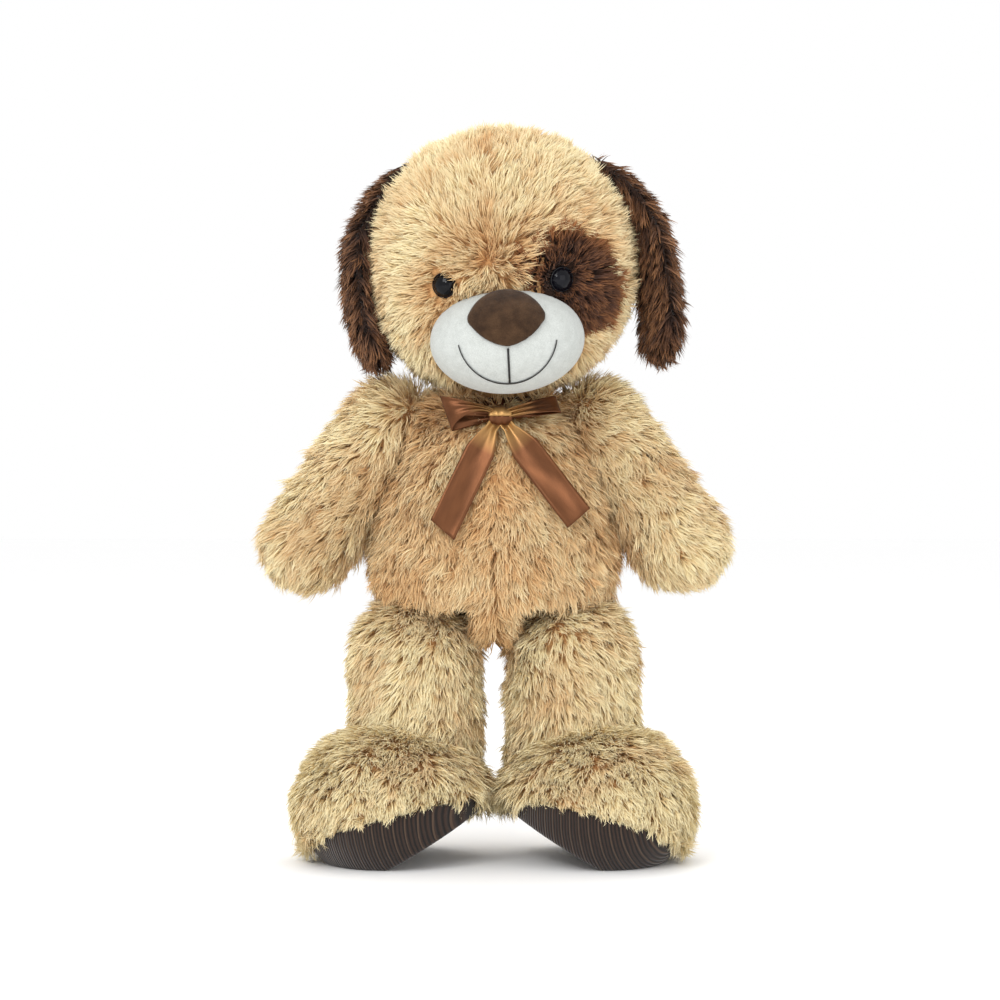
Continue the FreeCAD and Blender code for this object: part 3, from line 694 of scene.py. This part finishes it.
def make_torso():
    skin = body_skin("torso_skin", "torso", TORSO_NODES, "tan_backing")
    ribbon_tree = tree_of(RIBBON_NODES)

    def keep(p):
        mask = ~near(p, neck_tree, TORSO_NECK_GAP)
        mask &= ~near(p, tail_tree, TORSO_TAIL_GAP)
        for name, _ in SIDES:
            mask &= ~near(p, arm_trees[name], TORSO_LIMB_GAP)
            mask &= ~near(p, leg_trees[name], TORSO_LIMB_GAP)
        return mask

    def front(p, n):
        return keep(p) & (p[:, 1] < TORSO_SPLIT)

    def back(p, n):
        return keep(p) & (p[:, 1] >= TORSO_SPLIT)

    def flow(p, n):
        return downward(p, n, 0.30)

    def shade(p, n):
        # Painted shade: darker where the arms and legs meet the torso; lighter by the neck
        painted_shade_and_warmth = np.zeros(len(p))
        for name, _ in SIDES:
            painted_shade_and_warmth += 0.34 * bell(distances(arm_trees[name], p), 0.018)
            painted_shade_and_warmth += 0.30 * bell(distances(leg_trees[name], p), 0.018)
        painted_shade_and_warmth -= 0.12 * bell(distances(neck_tree, p), 0.07)
        return tan_shade(p, painted_shade_and_warmth) - 0.36

    def under_ribbon(p):
        return bell(distances(ribbon_tree, p), 0.018)

    def stand(p):
        """Up beside the neck, flat under the ribbon."""
        return 0.5 * bell(distances(neck_tree, p), 0.03) - 0.35 * under_ribbon(p)

    def trim(p):
        return 1 - 0.6 * under_ribbon(p)

    grow(
        "torso_fur_front", skin, "tan_fur", flow, front, shade, spacing=0.0052, per_tuft=13, length=0.024,
        width=0.0011, lean=(0.6, 1.4), curl=0.0024, seed=21, stand_of=stand, trim_of=trim,
    )
    grow(
        "torso_fur_back", skin, "tan_fur", flow, back, shade, spacing=0.0066, per_tuft=11, length=0.023,
        width=0.0016, lean=(0.6, 1.35), curl=0.002, seed=22, stand_of=stand,
    )


def make_arm(name, side):
    nodes = [f"{name}_arm_{part}" for part in ("front_panel", "back_panel", "filling")]
    skin = body_skin(f"{name}_arm_skin", f"{name}_arm", nodes, "tan_backing")
    shoulder = np.array(JOINTS[name + "_shoulder"]["pos_m"])
    _, low, high = centre_of(*nodes[:2])
    tip = np.array([side * max(abs(low[0]), abs(high[0])), 0, low[2]])
    reach = tip - shoulder
    reach[1] = 0
    axis = unit(reach)

    def keep(p, n):
        return ~near(p, torso_tree, LIMB_TORSO_GAP)

    def flow(p, n):
        """Along the arm and outward, falling more toward the paw."""
        past = np.clip(((p - shoulder) @ axis) / np.linalg.norm(reach), 0, 1)
        return tangent(axis + np.array([0, 0, -0.5]) * past[:, None] + np.array([side * 0.25, 0, 0]), n)

    def shade(p, n):
        # Painted shade: darker where the arm meets the torso
        return tan_shade(p, 0.34 * bell(distances(torso_tree, p), 0.02)) + 0.06

    def near_neck(p):
        return bell(distances(neck_tree, p), 0.045)

    def stand(p):
        return 0.6 * near_neck(p)

    def trim(p):
        """Longer by the neck, where it fills the gap under the cheek."""
        return 1 + 0.25 * near_neck(p)

    grow(
        f"{name}_arm_fur", skin, "tan_fur", flow, keep, shade, spacing=0.0053, per_tuft=13, length=0.024,
        width=0.0012, lean=(0.65, 1.4), curl=0.0018, seed=31 + side, stand_of=stand, trim_of=trim,
    )


def make_leg(name, side):
    parts = ("leg_outer_panel", "leg_inner_panel", "leg_filling", "foot_upper", "foot_filling")
    nodes = [f"{name}_{part}" for part in parts]
    skin = body_skin(f"{name}_leg_skin", f"{name}_leg", nodes, "tan_backing")
    upper_tree, sole_tree = tree_of([nodes[0], nodes[1], nodes[3]]), tree_of([name + "_sole"])
    foot_middle, foot_low, foot_high = centre_of(nodes[3])
    ankle_z = foot_high[2]
    foot_top = ankle_z - 0.012  # below it, the pile is the foot's
    hip = np.array(JOINTS[name + "_hip"]["pos_m"])

    def keep(p):
        mask = distances(upper_tree, p) < distances(sole_tree, p) + 0.0015
        return mask & ~near(p, torso_tree, LIMB_TORSO_GAP)

    def on_leg(p, n):
        return keep(p) & (p[:, 2] > foot_top)

    def on_foot(p, n):
        return keep(p) & (p[:, 2] <= foot_top)

    def flow(p, n):
        """Down and outward on the leg, spreading from the ankle over the foot."""
        below = np.clip((ankle_z - p[:, 2]) / 0.03, 0, 1)[:, None]
        leg = downward(p, n) + np.array([side * 0.45, 0, 0])
        foot = away_from((hip[0], hip[1] + 0.02, ankle_z + 0.01), p, n) + np.array([0, 0, -0.2])
        return tangent(leg * (1 - below) + foot * below, n)

    def shade(p, n):
        # Painted shade: darker where the leg meets the torso
        painted_shade_and_warmth = 0.32 * bell(distances(torso_tree, p), 0.022)
        # Painted shade: darker on the inner side of each leg, which faces the other leg
        inner = 0.15 * np.clip(-side * n[:, 0], 0, 1)
        # Painted light: the last term makes the foot below the ankle lighter, where it lies low and gets less lamp
        # light
        return tan_shade(p, painted_shade_and_warmth + inner) + 0.26 + 0.16 * (p[:, 2] < ankle_z)

    def foot_trim(p):
        """Short along the front of the sole's seam, long over its inner and outer end."""
        across = np.abs(p[:, 0] - foot_middle[0]) / (foot_high[0] - foot_low[0]) * 2
        ends = np.clip((across - 0.55) / 0.3, 0, 1)
        return 1 + (0.75 * ends - 0.5) * bell(distances(sole_tree, p), 0.016)

    grow(
        f"{name}_leg_fur", skin, "tan_fur", flow, on_leg, shade, spacing=0.0053, per_tuft=13, length=0.022,
        width=0.0012, lean=(0.65, 1.4), curl=0.0016, seed=41 + side,
    )
    grow(
        f"{name}_foot_fur", skin, "tan_fur", flow, on_foot, shade, spacing=0.0053, per_tuft=13, length=0.022,
        width=0.0012, lean=(0.65, 1.35), curl=0.0018, seed=45 + side, trim_of=foot_trim,
    )

    sole = remeshed(f"{name}_sole_corduroy", [name + "_sole"], 0.002, "corduroy", rounds=14)
    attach(sole, f"{name}_leg")
    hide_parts(name + "_sole")


def make_ear(name, side):
    nodes = [name + "_ear_outer_panel", name + "_ear_lining"]
    skin = body_skin(
        f"{name}_ear_skin", f"{name}_ear", nodes, "brown_backing", voxel=0.003,
        shrink=0.004,
    )

    def flow(p, n):
        return tangent(np.array([side * 0.25, 0, -1.0]) + p * 0, n)

    def shade(p, n):
        return 0.45 + 0.28 * waves(p, 0.03, 51) + 0.2 * waves(p, 0.012, 52)

    grow(
        f"{name}_ear_fur", skin, "brown_fur", flow, None, shade, spacing=0.0058, per_tuft=11, length=0.021,
        width=0.0014, lean=(0.7, 1.3), curl=0.002, seed=55 + side,
    )


def make_tail():
    nodes = ["tail_cover", "tail_filling"]
    skin = body_skin("tail_skin", "tail", nodes, "brown_backing", voxel=0.003)

    def keep(p, n):
        return ~near(p, torso_tree, TAIL_TORSO_GAP)

    def flow(p, n):
        return tangent(np.array([0, 0.75, 0.35]) + p * 0, n)

    def shade(p, n):
        return 0.45 + 0.28 * waves(p, 0.03, 61)

    grow(
        "tail_fur", skin, "brown_fur", flow, keep, shade, spacing=0.0058, per_tuft=11, length=0.02,
        width=0.0014, lean=(0.65, 1.35), seed=65,
    )


def make_neck():
    skin = remeshed("neck_skin", ["neck_filling"], 0.004, "tan_backing", shrink=0.002)
    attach(skin, "neck")
    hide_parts("neck_filling")

    def band(p, n):
        return np.abs(n[:, 2]) < 0.75

    def shade(p, n):
        # Painted shade: the neck fur, between head and torso, is kept dark all round
        return np.full(len(p), 0.12)

    grow(
        "neck_fur", skin, "tan_fur", downward, band, shade, spacing=0.0075, per_tuft=10, length=0.020,
        width=0.0016, lean=(0.4, 1.1), seed=71,
    )


# ---------------------------------------------------------------- face


EYE_RISE = 0.008  # from the eye's flat back to its crown
EYE_RIM = 0.0013  # width of the low rim round the dome
SHANK_RADIUS = 0.003
SHANK_LENGTH = 0.013
DOME_STEPS = 24
TURN_STEPS = 64


def make_muzzle():
    muzzle = remeshed("muzzle_velour", ["muzzle_cover", "muzzle_filling"], 0.0025, "white_velour", rounds=3)
    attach(muzzle, "head")
    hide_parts("muzzle_cover", "muzzle_filling")
    nose = remeshed("nose_velour_cover", ["nose_cover", "nose_padding"], 0.0012, "nose_velour", rounds=14)
    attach(nose, "head")
    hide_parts("nose_cover", "nose_padding")


def off_axis(points, spot, axis):
    """Each point's offset from an axis through the spot, square to it."""
    return points - spot - np.outer((points - spot) @ axis, axis)


def unevenness(points, axis):
    """How far a body is from round about an axis through its middle."""
    rest = off_axis(points, (points.max(0) + points.min(0)) / 2, axis)
    one = unit(np.cross(axis, np.array([0.31, 0.2, 0.93])))
    two = np.cross(axis, one)
    return abs(np.ptp(rest @ one) - np.ptp(rest @ two))


def eye_profile(radius):
    """Radius and height along one side of an eye: dome, rim, flat back and shank."""
    ball = (radius**2 + EYE_RISE**2) / (2 * EYE_RISE)
    whole = math.asin(min((radius - EYE_RIM) / ball, 1))
    profile = [(0.0, 0.0)]
    for i in range(1, DOME_STEPS + 1):
        angle = whole * i / DOME_STEPS
        profile.append((ball * math.sin(angle), ball * (math.cos(angle) - 1)))
    edge, drop = profile[-1]
    profile += [(edge + 0.0004, drop - 0.0003), (radius - 0.0003, drop - 0.0001), (radius, drop - 0.0008)]
    profile += [(radius - 0.0003, -EYE_RISE), (SHANK_RADIUS, -EYE_RISE)]
    profile += [(SHANK_RADIUS, -EYE_RISE - SHANK_LENGTH), (0.0, -EYE_RISE - SHANK_LENGTH)]
    return profile


def turned(name, profile, crown, axis):
    """A mesh turned from a profile about the axis, with the profile's first point on the crown."""
    turn = Vector(axis).to_track_quat("Z", "Y").to_matrix()
    bm = bmesh.new()
    rings = []
    for radius, height in profile:
        angles = [2 * math.pi * i / TURN_STEPS for i in range(TURN_STEPS if radius else 1)]
        spots = [Vector((radius * math.cos(a), radius * math.sin(a), height)) for a in angles]
        rings.append([bm.verts.new(Vector(crown) + turn @ spot) for spot in spots])
    for one, two in zip(rings, rings[1:]):
        for i in range(TURN_STEPS):
            j = (i + 1) % TURN_STEPS
            corners = [one[i % len(one)], two[i % len(two)], two[j % len(two)], one[j % len(one)]]
            bm.faces.new(list(dict.fromkeys(corners)))
    bmesh.ops.recalc_face_normals(bm, faces=bm.faces)
    mesh = bpy.data.meshes.new(name)
    bm.to_mesh(mesh)
    bm.free()
    smooth_shade(mesh)
    return mesh


def make_eye(name):
    """A domed eye turned in fine steps, with a low rim, over the CAD eye."""
    co = coords(NODES[name + "_eye"].data)
    middle = co.mean(0)
    _, _, axes = np.linalg.svd(co - middle, full_matrices=False)
    axis = min(axes, key=lambda a: unevenness(co, a))
    if axis[1] > 0:
        axis = -axis
    line = off_axis(co, middle, axis)
    on_axis = middle + ((line.max(0) + line.min(0)) / 2)
    radius = np.linalg.norm(off_axis(co, on_axis, axis), axis=1).max()
    crown = on_axis + axis * ((co - on_axis) @ axis).max()
    dome = turned(name + "_eye_dome", eye_profile(radius), crown, axis)
    eye = link(name + "_eye_dome", dome, "eye_plastic")
    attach(eye, "head")
    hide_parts(name + "_eye")


# ---------------------------------------------------------------- ribbon


RIBBON = 0.029  # its width
TUCKED = 0.010  # length of each hanging end that runs up into the knot
# Each loop's outer fold: how far out and how high its top and its foot lie, how far the front layer lifts
# and how far the top leans back
LOOPS = {
    "left": ((0.054, 0.019), (0.059, 0.003), 0.003, 0.020),
    "right": ((0.059, 0.019), (0.047, -0.015), 0.013, 0.004),
}


def strip(name, rows, columns, place, thickness=0.0006):
    """A ribbon from a grid of points place(along, across), both 0 to 1, made solid."""
    bm = bmesh.new()
    grid = [[bm.verts.new(place(i / rows, j / columns)) for j in range(columns + 1)] for i in range(rows + 1)]
    layer = bm.loops.layers.uv.new("strip")
    for i in range(rows):
        for j in range(columns):
            corners = ((i, j), (i + 1, j), (i + 1, j + 1), (i, j + 1))
            face = bm.faces.new([grid[a][b] for a, b in corners])
            for loop, (a, b) in zip(face.loops, corners):
                loop[layer].uv = (b / columns, a / rows)
    bmesh.ops.recalc_face_normals(bm, faces=bm.faces)
    mesh = bpy.data.meshes.new(name)
    bm.to_mesh(mesh)
    bm.free()
    obj = link(name, mesh, "satin")
    mesh = modified(obj, ("SOLIDIFY", {"thickness": thickness, "offset": 0.0}))
    mesh.materials.clear()
    mesh.materials.append(MATERIALS["satin"])
    smooth_shade(mesh)
    return obj


def bow_loop(name, side, knot):
    """A loop from the knot out to its fold and back, its front layer lifted so that its inside shows."""
    (top_x, top_z), (foot_x, foot_z), arch, back = LOOPS[name]

    def place(s, t):
        angle = s * 2 * math.pi
        u = (1 - math.cos(angle)) / 2
        layer = math.sin(angle)
        x = 0.005 + u * (foot_x * (1 - t) + top_x * t - 0.005)
        foot = -0.004 + u * (foot_z + 0.004) + arch * max(layer, 0.0)
        top = 0.005 + u * (top_z - 0.005) + 0.0022 * abs(layer)
        pleat = 0.0019 * math.cos(t * 5 * math.pi) * (1 - u) ** 1.2
        y = -0.001 - 0.0075 * layer - 0.003 * u * (1 - t) + back * u * t + pleat
        return Vector((knot[0] + side * x, knot[1] + y, knot[2] + foot * (1 - t) + top * t))

    loop = strip(name + "_bow_loop_satin", 64, 18, place)
    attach(loop, "torso")
    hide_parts(name + "_bow_loop")


def ribbon_end(name, side, knot):
    """A hanging end, from inside the knot down to its slanted cut."""
    top = np.array(JOINTS[name + "_ribbon_tail_swing"]["pos_m"])
    tuck = np.array([knot[0] + side * 0.003, knot[1] + 0.001, knot[2] - 0.004])
    co = coords(NODES[name + "_ribbon_tail"].data)
    reach = from_spot(co, top)
    axis = unit(co[reach > reach.max() - 0.022].mean(0) - top)
    across = unit(np.cross(axis, np.array([0.0, -1.0, 0.0])))
    out = unit(np.cross(across, axis))
    if out[1] > 0:
        out = -out
    long, wide = (co - top) @ axis, (co - top) @ across
    a_end, b_end = long[wide < -0.010].max(), long[wide > 0.010].max()

    def place(s, t):
        past = s * (a_end + (b_end - a_end) * t + TUCKED) - TUCKED
        d = max(past, 0.0)
        root = top + (tuck - top) * (d - past) / TUCKED
        spread = 0.42 + 0.58 * min(1.0, d / 0.024) ** 0.8
        fold = 0.0022 * math.cos(t * 2 * math.pi) * max(0.0, 1 - d / 0.040)
        curl = 0.0045 * math.sin(s * 3.0) + 0.0016 * math.sin(s * 7.0 + t * 1.5)
        curl += 0.002 * (2 * t - 1) ** 2 * s
        return Vector(root + axis * d + across * ((t - 0.5) * RIBBON * spread) + out * (curl + fold))

    tail = strip(name + "_ribbon_end", 40, 10, place)
    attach(tail, name + "_ribbon_tail")
    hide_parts(name + "_ribbon_tail")


def knot_wrap(knot, half):
    def place(s, t):
        angle = s * 2 * math.pi
        swell = 1 - 0.35 * (2 * t - 1) ** 2
        painted_shade_and_warmth = 1 + 0.05 * math.cos(6 * math.pi * t + angle)
        y = -half[1] * math.cos(angle) * swell * painted_shade_and_warmth
        z = half[2] * math.sin(angle) * swell * painted_shade_and_warmth
        return Vector((knot[0] + (t - 0.5) * 2 * half[0] * 0.95, knot[1] + y, knot[2] + z))

    wrap = strip("bow_knot_wrap", 40, 14, place)
    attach(wrap, "torso")
    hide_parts("bow_knot")


def neck_band():
    """The ribbon gathered to a band round the neck."""
    middle, low, high = centre_of("neck_ribbon")

    def place(s, t):
        angle = s * 2 * math.pi
        shrink = 1 - 0.16 * t
        lift = 0.0012 * math.sin(5 * angle) * (t - 0.5)
        x = middle[0] + (high[0] - middle[0]) * shrink * math.cos(angle)
        y = middle[1] + (high[1] - middle[1]) * shrink * math.sin(angle)
        return Vector((x, y, low[2] + (high[2] - low[2]) * t + lift))

    band = strip("neck_band", 120, 6, place)
    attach(band, "torso")
    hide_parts("neck_ribbon")


def make_ribbon():
    knot, knot_low, knot_high = centre_of("bow_knot")
    for name, side in SIDES:
        ribbon_end(name, side, knot)
        bow_loop(name, side, knot)
    knot_wrap(knot, (knot_high - knot_low) / 2)
    neck_band()


# ---------------------------------------------------------------- scene


# Name, place, size and power
LAMPS = (
    ("key", (-1.0, -2.2, 1.9), 1.2, 26),
    ("fill", (1.5, -2.2, 0.55), 2.0, 13),
    ("top", (0.2, 0.9, 2.2), 1.6, 14),
    ("catch", (-0.45, -2.4, 1.25), 0.16, 7.0),
)
CAMERA_TARGET = (0.0055, 0, 0.354)
CAMERA_ELEVATION = math.radians(1.5)
CAMERA_DISTANCE = 3.0
CAMERA_LENS = 108


def aimed(obj, target):
    obj.rotation_euler = (target - obj.location).to_track_quat("-Z", "Y").to_euler()
    bpy.context.scene.collection.objects.link(obj)
    return obj


def make_floor():
    mesh = bpy.data.meshes.new("floor")
    bm = bmesh.new()
    bmesh.ops.create_grid(bm, x_segments=1, y_segments=1, size=8)
    bm.to_mesh(mesh)
    bm.free()
    floor = bpy.data.objects.new("floor", mesh)
    bpy.context.scene.collection.objects.link(floor)
    mat, _, shader = new_material("floor_pale")
    set_shader(shader, Roughness=0.9, Base_Color=(0.99, 0.99, 0.99, 1))
    mesh.materials.append(mat)


def make_stage():
    scene = bpy.context.scene
    make_floor()

    world = bpy.data.worlds.new("studio")
    world.use_nodes = True
    set_shader(world.node_tree.nodes["Background"], Color=(1, 1, 1, 1), Strength=1.0)
    scene.world = world

    middle = Vector((0, 0, (CAD_BOUNDS[0].z + CAD_BOUNDS[1].z) / 2))
    for name, place, size, power in LAMPS:
        light = bpy.data.lights.new(name, "AREA")
        light.size = size
        light.energy = power
        lamp = bpy.data.objects.new(name, light)
        lamp.location = place
        aimed(lamp, middle)

    camera = bpy.data.cameras.new("camera")
    camera.sensor_width = 36
    camera.lens = CAMERA_LENS
    eye = bpy.data.objects.new("camera", camera)
    target = Vector(CAMERA_TARGET)
    way = Vector((0, -math.cos(CAMERA_ELEVATION), math.sin(CAMERA_ELEVATION)))
    eye.location = target + way * CAMERA_DISTANCE
    scene.camera = aimed(eye, target)
    scene.view_settings.view_transform = "Standard"


def finish_cad_nodes():
    """Gives each CAD node its material: the pieces that stay show it."""
    slots = {s["node"]: s["material_slot"] for s in frame["record"]["subparts"]}
    names = {"tan_plush": "tan_backing", "brown_plush": "brown_backing", "satin": "tan_thread"}
    for node, obj in NODES.items():
        material = MATERIALS[names.get(slots[node], slots[node])]
        if obj.material_slots:
            for place in obj.material_slots:
                place.material = material
        else:
            obj.data.materials.append(material)


finish_cad_nodes()
make_head()
make_muzzle()
for side_name, _ in SIDES:
    make_eye(side_name)
for side_name, side_sign in SIDES:
    make_ear(side_name, side_sign)
make_torso()
make_neck()
for side_name, side_sign in SIDES:
    make_arm(side_name, side_sign)
    make_leg(side_name, side_sign)
make_tail()
make_ribbon()
make_stage()
